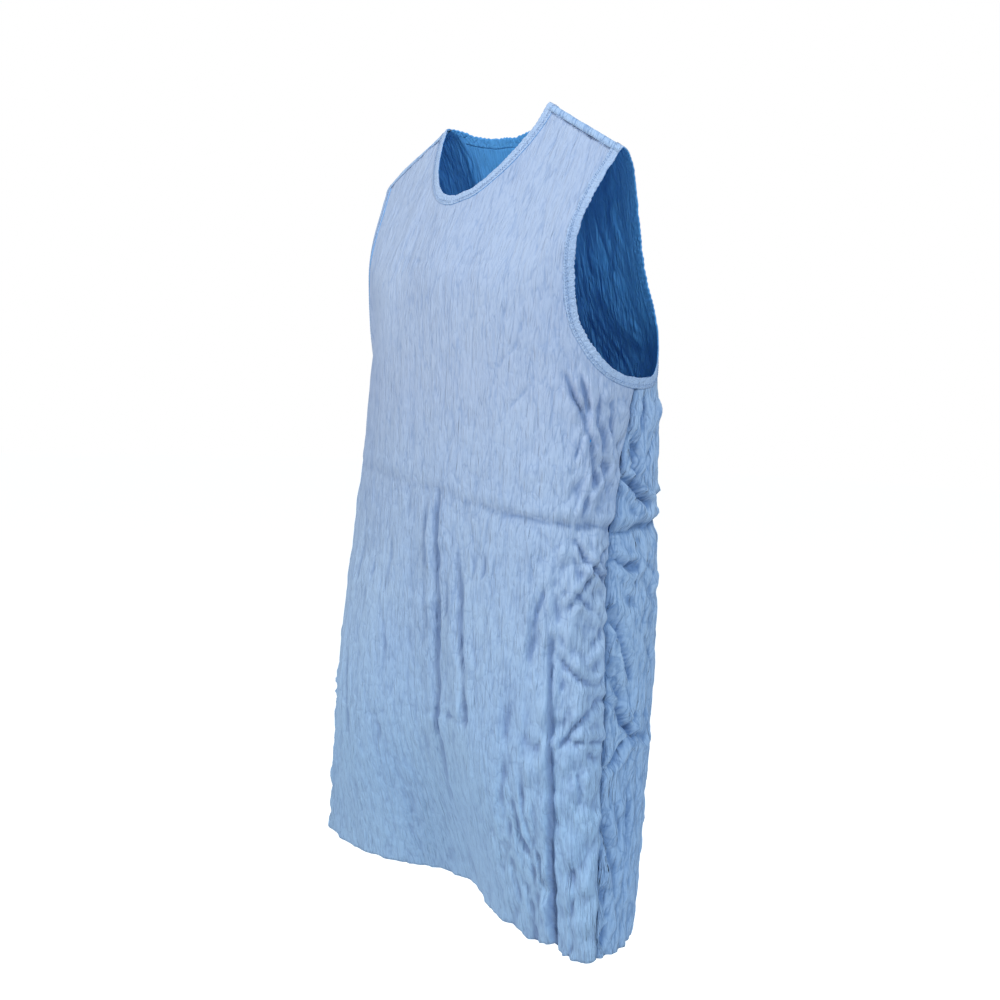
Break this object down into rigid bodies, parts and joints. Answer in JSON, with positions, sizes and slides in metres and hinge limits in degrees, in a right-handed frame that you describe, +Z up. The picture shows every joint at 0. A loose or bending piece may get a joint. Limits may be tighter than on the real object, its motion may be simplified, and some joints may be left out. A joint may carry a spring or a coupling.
{
  "type": "sleeveless protective apron",
  "caption": "Sleeveless round-neck protective apron of thin crinkled cloth, hanging open as if on a torso, with bound neck and armholes and a raw hem.",
  "frame": {"origin": "midway between the two high-shoulder points, at their height, where the garment hangs on a torso", "axes": "+Z up, -Y out of the front, +X towards the wearer's left"},
  "size_m": [0.5394, 0.2637, 1.0022],
  "materials": {
    "crepe_front": "light blue crinkled nonwoven, matt",
    "crepe_back": "light blue crinkled nonwoven, matt",
    "binding": "folded strip of the same cloth, puckered",
    "crepe_inside": "the same cloth seen from inside, in shade",
    "thread": "dark blue polyester sewing thread"
  },
  "bodies": {
    "root": {"front_panel": "crepe_front", "back_panel": "crepe_back", "neck_binding": "binding", "neck_stitching_inner": "thread", "neck_stitching_outer": "thread", "left_armhole_binding": "binding", "left_armhole_stitching_inner": "thread", "left_armhole_stitching_outer": "thread", "right_armhole_binding": "binding", "right_armhole_stitching_inner": "thread", "right_armhole_stitching_outer": "thread", "left_shoulder_seam_allowance": "crepe_inside", "left_shoulder_topstitching": "thread", "right_shoulder_seam_allowance": "crepe_inside", "right_shoulder_topstitching": "thread", "left_side_seam_allowance": "crepe_inside", "left_side_seam_stitching": "thread", "right_side_seam_allowance": "crepe_inside", "right_side_seam_stitching": "thread"}
  },
  "joints": []
}
